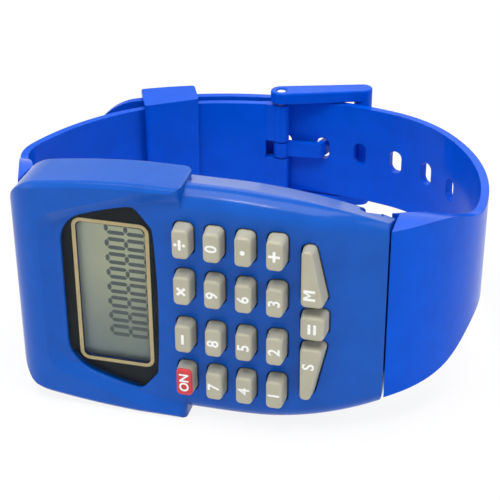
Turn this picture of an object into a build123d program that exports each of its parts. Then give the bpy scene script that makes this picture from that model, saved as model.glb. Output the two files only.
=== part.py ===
from build123d import *
from math import atan2, degrees, radians, sqrt
import os

# Calculator watch, closed on its buckle and standing on its 9 o'clock side. Millimetres.
# The origin is the middle of the back cover's outer face.
# +X runs from 12 to 6 o'clock, +Y from the dial towards the wrist, +Z to the 3 o'clock side.
# Heights in the case are measured outwards from the back cover, so a height is minus Y.

# Case
end_6 = 29.0
end_12 = 28.1
face_height = 10.3
seam_height = 5.9
face_bend_start = 10.0
body_half_width = 19.25
body_taper_start = 5.0
end_half_width = 17.2
end_corner = 4.2
end_margin = 4.6
past_end_half_width = 14.5
nose_inset = 0.3
lean_height = 7.0
lean_in = 2.3
nose_bow = 0.45
nose_half_width = 12.6
shoulder_x = 22.3
shoulder_half_width = 18.1
side_roll = 3.2
back_roll = 0.8
side_wall = 1.4
face_wall = 1.4
ledge_wall = 2.1
end_roof_drop = 1.1
roof_margin = 0.4
overrun = 1.0

# Hood round the display end
lip_height = 11.5
hood_back = 3.2
hood_half_width = 19.9
hood_nose_half_width = 12.9
hood_shoulder_x = 22.5
hood_shoulder_half_width = 18.5
arm_straight_x = 8.0
arm_end_x = 0.4
arm_end_roll = 1.7
rim_roll = 1.0
rim_drafts = (18.0, 50.0)
nose_roll = 5.5
valley_floor = 10.3
valley_half_width = 17.6
valley_shoulder_x = 8.5
valley_shoulder_half_width = 16.1
valley_corner_x = 19.0
valley_corner_half_width = 12.5
valley_end_x = 20.4
valley_end_half_width = 10.6
valley_slope = 57.0

# Display
window_end_x = 19.3
window_end_half_width = 8.6
window_shoulder_x = 15.8
window_shoulder_half_width = 13.75
window_widest_x = 7.6
window_half_width = 16.0
window_key_x = 4.9
window_key_half_width = 12.6
window_corner = 1.6
window_key_bulge = 0.5
window_thick = 0.7
window_inset = 0.4
window_gap = 0.05
mask_thick = 0.15
glue_gap = 0.02
view_centre_x = 11.8
view_length = 10.7
view_width = 23.7
view_corner = 1.2
ledge_open_margin = 0.5
lcd_margin = 1.2
lcd_glass = 0.55
lcd_contact_ledge = 1.8
lcd_gap = 0.05
reflector_thick = 0.2
tray_wall = 0.9
tray_floor = 0.6
strip_width = 1.4
strip_share = 0.9

# Keys: three rows of digits, a row of operators and the shaped row at the 6 o'clock end
key_first_x = -0.07
key_pitch_x = 4.64
key_inner_z = 4.17
key_outer_z = 11.95
key_length = 2.85
key_width = 5.1
key_corner = 0.9
key_proud = 2.3
key_draft = 5.5
key_top_roll = 0.4
key_gap = 0.2
key_travel = 0.6
flange_out = 0.35
flange_thick = 0.5
flange_gap = 0.05
end_key_x = 17.3
end_key_length = 3.9
equals_half_width = 2.15
shaped_key_near = 3.4
shaped_key_far = 12.9
shaped_key_tip = 1.9
shaped_key_corner = 0.9
cap_play = 0.15

# Board and what it carries
board_top = 5.6
board_thick = 0.8
board_end_12 = 19.4
board_end_6 = 21.2
board_half_width = 14.6
board_end_half_width = 12.2
board_shoulder_12 = 16.0
board_shoulder_6 = 13.6
board_shoulder_run = 3.0
mat_thick = 0.5
mat_end_12 = 2.2
dome_radius = 1.45
dome_top_radius = 1.1
dome_shift = 0.6
shaped_dome_z = 6.5
rest_gap = 0.05
cell_radius = 5.8
cell_thick = 3.05
cell_cap_radius = 4.4
cell_cap_step = 0.25
cell_x = -9.8
cell_play = 0.1
cradle_wall = 0.8
cradle_height = 2.4
chip_radius = 4.6
chip_height = 1.3
chip_roll = 1.0
chip_x = 7.5
chip_z = -1.0
crystal_radius = 1.0
crystal_length = 6.0
crystal_x = 7.0
crystal_z = 9.6
contact_thick = 0.25
contact_width = 3.0
contact_length = 6.5
contact_foot = 2.2
side_contact_drop = 2.0

# Back cover
cover_thick = 1.2
cover_inset = 1.0
cover_gap = 0.1
cover_half_length = 22.4
pocket_wall = 0.6
standoff_radius = 0.9
standoff_12_x = 17.8
standoff_6_x = 14.5
standoff_z = 9.0
cavity_end_12 = 21.4
cavity_end_6 = 21.8
post_radius = 1.3
post_top = 5.4
screw_12_x = 20.7
screw_12_z = 13.5
screw_6_x = 17.6
screw_6_z = 13.8
screw_radius = 0.45
screw_length = 3.6
screw_head_radius = 0.95
screw_head = 0.6
screw_sink = 0.05
screw_tip_gap = 0.3
thread_gap = 0.02
screw_gap = 0.1
screw_slot_width = 0.3
screw_slot_depth = 0.25

# Strap ends and their pins
pin_inset_6 = 3.4
pin_inset_12 = 2.7
pin_height = 1.3
pin_radius = 0.6
pin_gap = 0.03
pin_half_6 = 13.9
pin_half_12 = 14.8
pin_recess_radius = 1.7
tongue_half_width = 11.1
tongue_half_thick = 2.0
tongue_gap = 0.3
seam_gap = 0.25

# Straps: the loop seen along Z, by the outer surface of each strap
strap_thick = 1.3
layer_gap = 1.0
seam_step = 0.2
quarter_turn = 90.0
strap_half_width = 9.0
short_half_width = 8.7
loop_depth = 48.62
reach_6 = 40.6
reach_12 = 36.2
reach_6_depth_share = 0.391
long_turn_shares = (0.788, 0.815)
short_side_shares = (0.991, 0.409)
short_knee_shares = (0.983, 0.289)
bend_radius = 60.3
bend_centre_x = 4.83
bend_start_6 = 21.0
tip_x = -31.0
tip_corner = 6.5
block_half_width = 14.3
bend_start_12 = -11.0
keeper_spread = 1.2
block_front_12 = 3.4
block_waist_y = 4.0
block_waist = 12.8
block_waist_y_12 = 7.0
block_waist_12 = 12.5
block_end_y = 15.5
block_tangent_run = 1.0
block_tangent_drop = -0.05
wrist_step = 1.0
block_heel_shares = (0.870, 0.165)
block_heel_shares_12 = (0.898, 0.186)
block_back_12 = 4.2
block_end_share = 0.05
block_mid_share = 0.6
block_back_6 = 2.8

# Holes of the long strap
hole_length = 2.4
hole_width = 4.2
hole_pitch = 7.1
hole_count = 8
hole_first = 7.6
holes_past_buckle = 3

# Buckle
buckle_x = 1.0
buckle_sink = 1.6
buckle_pin_radius = 0.75
buckle_pin_gap = 0.05
buckle_pin_half = 11.1
knuckle_radius = 1.4
knuckle_run = 6.0
knuckle_sink = 0.9
knuckle_lift = 0.3
frame_eye_radius = 1.9
frame_arm_width = 2.0
frame_side_gap = 0.35
frame_reach = 14.1
frame_rise = 3.6
frame_bar_radius = 1.6
frame_roll = 0.3
frame_groove_width = 3.4
frame_groove_depth = 1.25
tang_width = 2.8
tang_thick = 1.0
tang_eye_radius = 1.35
tang_slot_gap = 0.3
tang_slot_back = 2.7
tang_ramp_start = 6.9
tang_ramp_run = 1.76
tang_inner_rise = 0.2
tang_outer_rise = 4.65
tang_tip = 15.0
tang_tip_rise = 0.15
tang_bend = 0.6

# Keeper loop
keeper_x = -19.3
keeper_length = 9.6
keeper_wall = 0.8
keeper_side_wall = 1.1
keeper_gap = 0.15
keeper_corner = 0.6


def level(height):
    """Sketch plane at a height above the back: drawing x is +X and drawing y is +Z."""
    return Plane.XZ.offset(height)


def face_at(x):
    """Height of the keypad face at a place along the case."""
    if x <= face_bend_start:
        return face_height
    return face_height - face_radius + sqrt(face_radius**2 - (x - face_bend_start) ** 2)


face_run = end_6 - face_bend_start
face_drop = face_height - seam_height
face_radius = (face_run**2 + face_drop**2) / (2 * face_drop)

# Body of the case: the outline seen from the dial, cut by the side profile
body_end_12 = end_12 - nose_inset
past_end = end_6 + end_margin
with BuildSketch(Plane.XY) as body_outline:
    with BuildLine():
        nose = TangentArc((-body_end_12, 0), (-body_end_12 + nose_bow, nose_half_width), tangent=(0, 1))
        shoulder = TangentArc(nose @ 1, (-shoulder_x, shoulder_half_width), tangent=nose % 1)
        flank = TangentArc(shoulder @ 1, (-arm_straight_x, body_half_width), tangent=shoulder % 1)
        side = TangentArc(flank @ 1, (body_taper_start, body_half_width), tangent=flank % 1)
        taper = TangentArc(side @ 1, (past_end, past_end_half_width), tangent=side % 1)
        Polyline(taper @ 1, (past_end, 0), nose @ 0)
    make_face()
    mirror(about=Plane.XZ)

# The 6 o'clock end is flat, with rounded corners
with BuildSketch(Plane.XY) as end_outline:
    with BuildLine():
        Polyline(
            (-end_12, 0),
            (-end_12, body_half_width + overrun),
            (body_taper_start, body_half_width + overrun),
            (end_6, end_half_width),
            (end_6, 0),
            close=True,
        )
    make_face()
    mirror(about=Plane.XZ)
    fillet(vertices().group_by(Axis.X)[-1], radius=end_corner)

lean_draft = degrees(atan2(lean_in, lean_height))
with BuildPart() as body:
    with BuildSketch(Plane.XZ):
        add(body_outline.sketch)
    extrude(amount=lip_height)
    with BuildSketch(Plane.XY):
        with BuildLine():
            crown = TangentArc(
                (face_bend_start, -face_height), (past_end, -face_at(past_end)), tangent=(1, 0)
            )
            Polyline(crown @ 1, (past_end, 0), (-end_12, 0), (-end_12, -face_height), crown @ 0)
        make_face()
    extrude(amount=hood_half_width, both=True, mode=Mode.INTERSECT)
    side_edges = [
        e for e in body.edges()
        if abs(e.center().Z) > seam_gap and -e.center().Y > seam_height and e.length > face_height
    ]
    fillet(side_edges, radius=side_roll)
    # The sides lean in towards the back
    with BuildSketch(Plane.XZ):
        add(body_outline.sketch)
        offset(amount=-lean_in)
    extrude(amount=lip_height, taper=-lean_draft, mode=Mode.INTERSECT)
    with BuildSketch(Plane.XZ):
        add(end_outline.sketch)
    extrude(amount=lip_height, mode=Mode.INTERSECT)
    back_edges = [e for e in body.edges().group_by(Axis.Y)[-1] if e.center().X < end_6 - end_corner]
    fillet(back_edges, radius=back_roll)

# Hood: a raised collar round the display end, rolled over at the nose, with arms along both sides
with BuildPart() as hood:
    with BuildSketch(level(hood_back)):
        with BuildLine():
            hood_nose = TangentArc(
                (-end_12, 0), (-end_12 + nose_bow, hood_nose_half_width), tangent=(0, 1)
            )
            hood_shoulder = TangentArc(
                hood_nose @ 1, (-hood_shoulder_x, hood_shoulder_half_width), tangent=hood_nose % 1
            )
            hood_flank = TangentArc(
                hood_shoulder @ 1, (-arm_straight_x, hood_half_width), tangent=hood_shoulder % 1
            )
            hood_arm = Line(hood_flank @ 1, (-arm_end_x, hood_half_width))
            Polyline(hood_arm @ 1, (-arm_end_x, 0), hood_nose @ 0)
        make_face()
        mirror(about=Plane.XZ)
    extrude(amount=lip_height - hood_back - rim_roll)
    for draft in rim_drafts:
        extrude(faces().sort_by(Axis.Y)[0], amount=rim_roll / len(rim_drafts), taper=draft)
    with BuildSketch(Plane.XY):
        with BuildLine():
            Polyline(
                (-end_12 + nose_roll, -lip_height),
                (-arm_end_x, -lip_height),
                (-arm_end_x, -hood_back),
                (-end_12, -hood_back),
                (-end_12, -lip_height + nose_roll),
            )
            TangentArc(
                (-end_12, -lip_height + nose_roll), (-end_12 + nose_roll, -lip_height), tangent=(0, -1)
            )
        make_face()
        fillet(vertices().group_by(Axis.X)[-1], radius=arm_end_roll)
    extrude(amount=hood_half_width, both=True, mode=Mode.INTERSECT)

valley_height = lip_height - valley_floor
with BuildPart() as front_shell:
    add(body.part)
    add(hood.part)
    with BuildSketch(level(valley_floor)):
        with BuildLine():
            valley_side = TangentArc(
                (0, valley_half_width), (-valley_shoulder_x, valley_shoulder_half_width), tangent=(-1, 0)
            )
            valley_run = Line(valley_side @ 1, (-valley_corner_x, valley_corner_half_width))
            valley_corner = TangentArc(
                valley_run @ 1, (-valley_end_x, valley_end_half_width), tangent=valley_run % 1
            )
            Polyline(valley_corner @ 1, (-valley_end_x, 0), (0, 0), (0, valley_half_width))
        make_face()
        mirror(about=Plane.XZ)
    extrude(amount=valley_height + overrun, taper=-valley_slope, mode=Mode.SUBTRACT)

# Outlines of the keys, drawn with x along the case and y across it
key_columns = [key_first_x + key_pitch_x * n for n in range(4)]
key_rows = [-key_outer_z, -key_inner_z, key_inner_z, key_outer_z]
equals_x = end_key_x + end_key_length / 2
display_roof = face_height - ledge_wall
key_roof = face_height - face_wall
end_roof = key_roof - end_roof_drop
end_key_top = face_at(equals_x) + key_proud

with BuildSketch(Plane.XY) as shaped_outline:
    with BuildLine():
        Polyline(
            (end_key_x, shaped_key_near),
            (end_key_x + end_key_length, shaped_key_near),
            (end_key_x + shaped_key_tip, shaped_key_far),
            (end_key_x, shaped_key_far),
            close=True,
        )
    make_face()
    fillet(vertices(), radius=shaped_key_corner)

# Window opening in the hood's floor, also the outline of the window and its mask
with BuildSketch(Plane.XY) as window_outline:
    with BuildLine():
        window_nose = Line((-window_end_x, 0), (-window_end_x, window_end_half_width))
        window_shoulder = TangentArc(
            window_nose @ 1, (-window_shoulder_x, window_shoulder_half_width), tangent=(0, 1)
        )
        window_side = TangentArc(
            window_shoulder @ 1, (-window_widest_x, window_half_width), tangent=window_shoulder % 1
        )
        window_key_end = Line(window_side @ 1, (-window_key_x, window_key_half_width))
        ThreePointArc(
            window_key_end @ 1,
            (-window_key_x + window_key_bulge, 0),
            (-window_key_x, -window_key_half_width),
        )
        mirror(window_nose, about=Plane.XZ)
        mirror(window_shoulder, about=Plane.XZ)
        mirror(window_side, about=Plane.XZ)
        mirror(window_key_end, about=Plane.XZ)
    make_face()
    key_side = [v for v in vertices() if v.X > -window_shoulder_x + window_corner]
    fillet(key_side, radius=window_corner)

window_top = face_height - window_inset
window_bottom = window_top - window_thick
mask_bottom = window_bottom - glue_gap - mask_thick
glass_length = view_length + 2 * lcd_margin
glass_width = view_width + 2 * lcd_margin
glass_top = display_roof - lcd_gap
glass_step = glass_top - lcd_glass
glass_bottom = glass_step - lcd_glass
reflector_bottom = glass_bottom - reflector_thick
tray_length = glass_length + 2 * lcd_gap
tray_width = glass_width + 2 * lcd_gap
board_bottom = board_top - board_thick
strip_x = -view_centre_x + glass_length / 2 - lcd_contact_ledge / 2

# Cavity, open at the back: the display, the keys and the 6 o'clock end each have their own roof
with BuildPart() as cavity:
    with BuildSketch(Plane.XZ):
        add(body_outline.sketch)
        offset(amount=-lean_in - side_wall)
    extrude(amount=face_height)
    with BuildSketch(Plane.XY):
        with BuildLine():
            Polyline(
                (-cavity_end_12, 0),
                (-cavity_end_12, -display_roof),
                (-mat_end_12, -display_roof),
                (-mat_end_12, -key_roof),
                (end_key_x - roof_margin, -key_roof),
                (end_key_x - roof_margin, -end_roof),
                (cavity_end_6, -end_roof),
                (cavity_end_6, 0),
                close=True,
            )
        make_face()
    extrude(amount=hood_half_width, both=True, mode=Mode.INTERSECT)

screw_corners = [(-screw_12_x, screw_12_z), (screw_6_x, screw_6_z)]
screw_places = screw_corners + [(x, -z) for x, z in screw_corners]
pin_x_6 = end_6 - pin_inset_6
pin_x_12 = -end_12 + pin_inset_12
pocket_roof = pin_height + tongue_half_thick + tongue_gap
pocket_inner = cover_half_length + pocket_wall

with BuildPart() as front_case:
    add(front_shell.part)
    add(cavity.part, mode=Mode.SUBTRACT)
    with BuildSketch(level(cover_thick)):
        with Locations(screw_places):
            Circle(post_radius)
    extrude(amount=post_top - cover_thick)
    with BuildSketch(level(cover_thick)):
        with Locations(screw_places):
            Circle(screw_radius + thread_gap)
    extrude(amount=screw_length, mode=Mode.SUBTRACT)
    # Rebate of the back cover
    with BuildSketch(Plane.XZ):
        add(body_outline.sketch)
        offset(amount=cover_gap - cover_inset - lean_in)
        Rectangle(2 * (cover_half_length + cover_gap), 2 * body_half_width, mode=Mode.INTERSECT)
    extrude(amount=cover_thick, mode=Mode.SUBTRACT)
    # Pocket of the window and opening of the display beneath it
    with BuildSketch(level(mask_bottom - glue_gap)):
        add(window_outline.sketch)
    extrude(amount=lip_height, mode=Mode.SUBTRACT)
    with BuildSketch(level(display_roof - overrun)):
        with Locations((-view_centre_x, 0)):
            RectangleRounded(
                view_length + ledge_open_margin, view_width + ledge_open_margin, view_corner
            )
    extrude(amount=ledge_wall + overrun, mode=Mode.SUBTRACT)
    # Openings of the keys
    with BuildSketch(level(end_roof - overrun)):
        with Locations([(x, z) for x in key_columns for z in key_rows]):
            RectangleRounded(key_length + 2 * key_gap, key_width + 2 * key_gap, key_corner + key_gap)
        with Locations((equals_x, 0)):
            RectangleRounded(
                end_key_length + 2 * key_gap, 2 * (equals_half_width + key_gap), key_corner + key_gap
            )
        add(offset(shaped_outline.sketch, amount=key_gap, mode=Mode.PRIVATE))
        add(offset(shaped_outline.sketch, amount=key_gap, mode=Mode.PRIVATE).mirror(Plane.XZ))
    extrude(amount=lip_height, mode=Mode.SUBTRACT)
    # Pockets of the strap tongues, open at the back and the ends
    with BuildSketch(level(-overrun)):
        with Locations((pocket_inner, 0), (-pocket_inner, 0)):
            Rectangle(2 * (end_6 - pocket_inner + overrun), 2 * (tongue_half_width + tongue_gap))
        Rectangle(2 * pocket_inner, 2 * body_half_width, mode=Mode.SUBTRACT)
    extrude(amount=pocket_roof + overrun, mode=Mode.SUBTRACT)
    # Holes of the strap pins, with the sunk ends
    with BuildSketch(Plane.XY):
        with Locations((pin_x_6, -pin_height), (pin_x_12, -pin_height)):
            Circle(pin_radius + pin_gap)
    extrude(amount=hood_half_width, both=True, mode=Mode.SUBTRACT)
    for pin_x, pin_half in ((pin_x_6, pin_half_6), (pin_x_12, pin_half_12)):
        for side in (Plane.XY, -Plane.XY):
            with BuildSketch(side.offset(pin_half)):
                with Locations(side.to_local_coords(Vector(pin_x, -pin_height, 0))):
                    Circle(pin_recess_radius)
            extrude(amount=hood_half_width, mode=Mode.SUBTRACT)

# Display
with BuildPart() as display_window:
    with BuildSketch(level(window_bottom)):
        offset(window_outline.sketch, amount=-window_gap)
    extrude(amount=window_thick)

with BuildPart() as window_mask:
    with BuildSketch(level(mask_bottom)):
        offset(window_outline.sketch, amount=-window_gap)
        with Locations((-view_centre_x, 0)):
            RectangleRounded(view_length, view_width, view_corner, mode=Mode.SUBTRACT)
    extrude(amount=mask_thick)

with BuildPart() as lcd_panel:
    with BuildSketch(level(glass_step)):
        with Locations((-view_centre_x, 0)):
            Rectangle(glass_length, glass_width)
    extrude(amount=lcd_glass)
    with BuildSketch(level(glass_bottom)):
        with Locations((-view_centre_x - lcd_contact_ledge / 2, 0)):
            Rectangle(glass_length - lcd_contact_ledge, glass_width)
    extrude(amount=lcd_glass)

with BuildPart() as lcd_reflector:
    with BuildSketch(level(reflector_bottom)):
        with Locations((-view_centre_x - lcd_contact_ledge / 2, 0)):
            Rectangle(glass_length - lcd_contact_ledge, glass_width)
    extrude(amount=reflector_thick)

with BuildPart() as lcd_connector_strip:
    with BuildSketch(level(board_top)):
        with Locations((strip_x, 0)):
            Rectangle(strip_width, strip_share * glass_width)
    extrude(amount=glass_step - board_top)

with BuildPart() as inner_frame:
    with BuildSketch(level(board_top)):
        with Locations((-view_centre_x, 0)):
            Rectangle(tray_length + 2 * tray_wall, tray_width + 2 * tray_wall)
    extrude(amount=glass_top - board_top)
    with BuildSketch(level(reflector_bottom)):
        with Locations((-view_centre_x, 0)):
            Rectangle(tray_length, tray_width)
    extrude(amount=face_height, mode=Mode.SUBTRACT)
    with BuildSketch(level(reflector_bottom - tray_floor)):
        with Locations((-view_centre_x, 0)):
            Rectangle(tray_length, tray_width)
    extrude(amount=-board_top, mode=Mode.SUBTRACT)
    with BuildSketch(level(board_bottom)):
        with Locations((strip_x, 0)):
            Rectangle(strip_width + 2 * lcd_gap, strip_share * glass_width + 2 * lcd_gap)
    extrude(amount=face_height, mode=Mode.SUBTRACT)

# Keys: a cap that stands out of the face on a flange that keeps it in
key_seat = key_roof - flange_gap - flange_thick
end_key_seat = end_roof - flange_gap - flange_thick
with BuildPart() as key:
    with BuildSketch(level(key_seat)):
        RectangleRounded(key_length, key_width, key_corner)
    extrude(amount=face_height - key_seat)
    with BuildSketch(level(face_height)):
        RectangleRounded(key_length, key_width, key_corner)
    extrude(amount=key_proud, taper=key_draft)
    fillet(faces().sort_by(Axis.Y)[0].edges(), radius=key_top_roll)
    with BuildSketch(level(key_seat)):
        RectangleRounded(key_length, key_width + 2 * flange_out, key_corner)
    extrude(amount=flange_thick)

with BuildPart() as key_equals:
    with BuildSketch(level(end_key_seat)):
        with Locations((equals_x, 0)):
            RectangleRounded(end_key_length, 2 * equals_half_width, key_corner)
    extrude(amount=end_key_top - key_proud - end_key_seat)
    with BuildSketch(level(end_key_top - key_proud)):
        with Locations((equals_x, 0)):
            RectangleRounded(end_key_length, 2 * equals_half_width, key_corner)
    extrude(amount=key_proud, taper=key_draft)
    fillet(faces().sort_by(Axis.Y)[0].edges(), radius=key_top_roll)
    with BuildSketch(level(end_key_seat)):
        with Locations((equals_x, 0)):
            RectangleRounded(end_key_length, 2 * (equals_half_width + flange_out), key_corner)
    extrude(amount=flange_thick)

with BuildPart() as key_m:
    with BuildSketch(level(end_key_seat)):
        add(shaped_outline.sketch)
    extrude(amount=end_key_top - key_proud - end_key_seat)
    with BuildSketch(level(end_key_top - key_proud)):
        add(shaped_outline.sketch)
    extrude(amount=key_proud, taper=key_draft)
    fillet(faces().sort_by(Axis.Y)[0].edges(), radius=key_top_roll)
    with BuildSketch(level(end_key_seat)):
        with Locations((equals_x, shaped_key_near)):
            Rectangle(end_key_length - 2 * shaped_key_corner, 2 * flange_out)
        with Locations((end_key_x + shaped_key_tip / 2, shaped_key_far)):
            Rectangle(shaped_key_tip / 2, 2 * flange_out)
    extrude(amount=flange_thick)

# Circuit board, seen from the dial
with BuildSketch(Plane.XY) as board_outline:
    with BuildLine():
        Polyline(
            (-board_end_12, 0),
            (-board_end_12, board_end_half_width),
            (-board_shoulder_12 - board_shoulder_run, board_end_half_width),
            (-board_shoulder_12, board_half_width),
            (board_shoulder_6, board_half_width),
            (board_shoulder_6 + board_shoulder_run, board_end_half_width),
            (board_end_6, board_end_half_width),
            (board_end_6, 0),
            close=True,
        )
    make_face()
    mirror(about=Plane.XZ)

with BuildPart() as circuit_board:
    with BuildSketch(level(board_bottom)):
        add(board_outline.sketch)
    extrude(amount=board_thick)

# Rubber mat: a dome under each key, clear of it by the rest gap when the key is fully down
mat_top = board_top + mat_thick
dome_height = key_seat - key_travel - cap_play - mat_top
end_dome_height = end_key_seat - key_travel - cap_play - mat_top
dome_draft = degrees(atan2(dome_radius - dome_top_radius, dome_height))
with BuildPart() as keypad_mat:
    with BuildSketch(level(board_top)):
        add(board_outline.sketch)
        with Locations((-mat_end_12, 0)):
            Rectangle(
                2 * board_end_12,
                2 * body_half_width,
                align=(Align.MAX, Align.CENTER),
                mode=Mode.SUBTRACT,
            )
    extrude(amount=mat_thick)
    with BuildSketch(level(mat_top)):
        with Locations([(x, z) for x in key_columns for z in key_rows]):
            Circle(dome_radius)
    extrude(amount=dome_height, taper=dome_draft)
    with BuildSketch(level(mat_top)):
        with Locations((equals_x, 0)):
            Circle(dome_radius)
        with Locations([(equals_x - dome_shift, z) for z in (-shaped_dome_z, shaped_dome_z)]):
            Circle(dome_radius)
    extrude(amount=end_dome_height, taper=dome_draft)

with BuildPart() as chip_blob:
    with BuildSketch(level(board_bottom)):
        with Locations((chip_x, chip_z)):
            Circle(chip_radius)
    extrude(amount=-chip_height)
    fillet(faces().sort_by(Axis.Y)[-1].edges(), radius=chip_roll)

with BuildPart() as quartz_crystal:
    with BuildSketch(Plane.YZ.offset(crystal_x)):
        with Locations((-board_bottom + crystal_radius + glue_gap, crystal_z)):
            Circle(crystal_radius)
    extrude(amount=crystal_length / 2, both=True)

# Button cell between its two contacts, in a ring on the back cover
contact_bottom = board_bottom - contact_thick
cell_top = contact_bottom - rest_gap
with BuildPart() as button_cell:
    with BuildSketch(level(cell_top - cell_thick)):
        with Locations((cell_x, 0)):
            Circle(cell_radius)
    extrude(amount=cell_thick - cell_cap_step)
    with BuildSketch(level(cell_top - cell_cap_step)):
        with Locations((cell_x, 0)):
            Circle(cell_cap_radius)
    extrude(amount=cell_cap_step)

with BuildPart() as battery_contact_negative:
    with BuildSketch(level(contact_bottom)):
        with Locations((cell_x, 0)):
            Rectangle(contact_width, contact_length)
    extrude(amount=contact_thick)

with BuildPart() as battery_contact_positive:
    with BuildSketch(level(contact_bottom)):
        with Locations((cell_x + cell_radius + rest_gap, 0)):
            Rectangle(contact_foot, contact_width, align=(Align.MIN, Align.CENTER))
    extrude(amount=contact_thick)
    with BuildSketch(level(contact_bottom)):
        with Locations((cell_x + cell_radius + rest_gap, 0)):
            Rectangle(contact_thick, contact_width, align=(Align.MIN, Align.CENTER))
    extrude(amount=-side_contact_drop)

# Back cover and its screws
with BuildPart() as back_cover:
    with BuildSketch(Plane.XZ):
        add(body_outline.sketch)
        offset(amount=-cover_inset - lean_in)
        Rectangle(2 * cover_half_length, 2 * body_half_width, mode=Mode.INTERSECT)
    extrude(amount=cover_thick)
    with BuildSketch(level(cover_thick)):
        with Locations((cell_x, 0)):
            Circle(cell_radius + cell_play + cradle_wall)
            Circle(cell_radius + cell_play, mode=Mode.SUBTRACT)
        with Locations((cell_x + cell_radius, 0)):
            Rectangle(2 * contact_foot, contact_width + 2 * tongue_gap, mode=Mode.SUBTRACT)
    extrude(amount=cradle_height)
    with BuildSketch(level(cover_thick)):
        with Locations([(x, z) for x in (-standoff_12_x, standoff_6_x) for z in (-standoff_z, standoff_z)]):
            Circle(standoff_radius)
    extrude(amount=board_bottom - rest_gap - cover_thick)
    with BuildSketch(Plane.XZ):
        with Locations(screw_places):
            Circle(screw_radius + screw_gap)
    extrude(amount=cover_thick, mode=Mode.SUBTRACT)
    with BuildSketch(Plane.XZ):
        with Locations(screw_places):
            Circle(screw_head_radius + screw_gap)
    extrude(amount=screw_sink + screw_head, mode=Mode.SUBTRACT)

with BuildPart() as back_cover_screws:
    with BuildSketch(level(screw_sink)):
        with Locations(screw_places):
            Circle(screw_head_radius)
    extrude(amount=screw_head)
    with BuildSketch(level(screw_sink + screw_head)):
        with Locations(screw_places):
            Circle(screw_radius)
    extrude(amount=screw_length - screw_tip_gap)
    with BuildSketch(level(screw_sink)):
        with Locations(screw_places):
            Rectangle(2 * screw_head_radius, screw_slot_width)
    extrude(amount=screw_slot_depth, mode=Mode.SUBTRACT)

# Strap pins, along Z through the case and the strap tongues
with BuildPart() as strap_pin_6:
    with BuildSketch(Plane.XY):
        with Locations((pin_x_6, -pin_height)):
            Circle(pin_radius)
    extrude(amount=pin_half_6, both=True)

with BuildPart() as strap_pin_12:
    with BuildSketch(Plane.XY):
        with Locations((pin_x_12, -pin_height)):
            Circle(pin_radius)
    extrude(amount=pin_half_12, both=True)

# Loop of the straps seen along Z. Both share one bend over the wrist's far side
bend_centre = Vector(bend_centre_x, loop_depth - bend_radius)


def bend_point(radius, x):
    """Point at a radius about the centre of the shared bend, by its place along the case."""
    return bend_centre + Vector(x - bend_centre.X, sqrt(radius**2 - (x - bend_centre.X) ** 2))


def bend_direction(x):
    """Direction of the shared bend towards 6 o'clock at a place along the case."""
    out = bend_point(bend_radius, x) - bend_centre
    return Vector(out.Y, -out.X).normalized()


def loop_place(reach, shares):
    """Place in the loop from its shares of a reach and of the depth."""
    return (shares[0] * reach, shares[1] * loop_depth)


# Long strap: from its tip through the bend, round the 6 o'clock side and down to the case
bend_end_6 = bend_point(bend_radius, bend_start_6)
with BuildLine() as long_path:
    long_bend = ThreePointArc(
        bend_point(bend_radius, tip_x), (bend_centre.X, loop_depth), bend_end_6
    )
    long_turn = TangentArc(
        bend_end_6, loop_place(reach_6, long_turn_shares), tangent=bend_direction(bend_start_6)
    )
    long_side = TangentArc(
        long_turn @ 1, (reach_6, reach_6_depth_share * loop_depth), tangent=long_turn % 1
    )
    long_rise = TangentArc(
        long_side @ 1, (end_6 + seam_gap, -seam_height + seam_step), tangent=long_side % 1
    )

buckle_radius = bend_radius - strap_thick - buckle_sink
buckle_at = bend_point(buckle_radius, buckle_x)
buckle_out = (buckle_at - bend_centre).normalized()
buckle_plane = Plane(origin=buckle_at, x_dir=(buckle_out.Y, -buckle_out.X, 0), z_dir=(0, 0, 1))
bend_angle = bend_direction(bend_start_6).get_angle(Vector(buckle_out.Y, -buckle_out.X))
pin_run = bend_radius * radians(bend_angle)


def hole_plane(run):
    """Plane on the long strap's outer surface at a run from the buckle pin towards 6 o'clock."""
    edge, length = long_bend, long_bend.length - pin_run + run
    if run > pin_run:
        edge, length = long_turn, run - pin_run
    if run > pin_run + long_turn.length:
        edge, length = long_side, run - pin_run - long_turn.length
    at = edge.position_at(length, PositionMode.LENGTH)
    along = edge.tangent_at(length, PositionMode.LENGTH)
    return Plane(origin=at, x_dir=along, z_dir=(along.Y, -along.X, 0))


# Half-widths of the moulded ends where they leave the case: drawing x is Y and drawing y is Z
with BuildSketch(Plane.XY) as long_width:
    with BuildLine():
        long_flare = Spline(
            (-seam_height, block_half_width),
            (block_waist_y, block_waist),
            (block_end_y, strap_half_width),
            tangents=[(block_tangent_run, block_tangent_drop), (1, 0)],
        )
        Polyline(
            long_flare @ 1,
            (2 * loop_depth, strap_half_width),
            (2 * loop_depth, 0),
            (-lip_height, 0),
            (-lip_height, block_half_width),
            long_flare @ 0,
        )
    make_face()
    mirror(about=Plane.XZ)

# Ends of the straps seen along Z: a tongue on the pin and a thick curl that thins into the band
def inside(edge, share, depth):
    """Point at a depth beneath a strap's outer surface; the edge runs towards the case."""
    return edge @ share + (edge % share).rotate(Axis.Z, -quarter_turn) * depth


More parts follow.
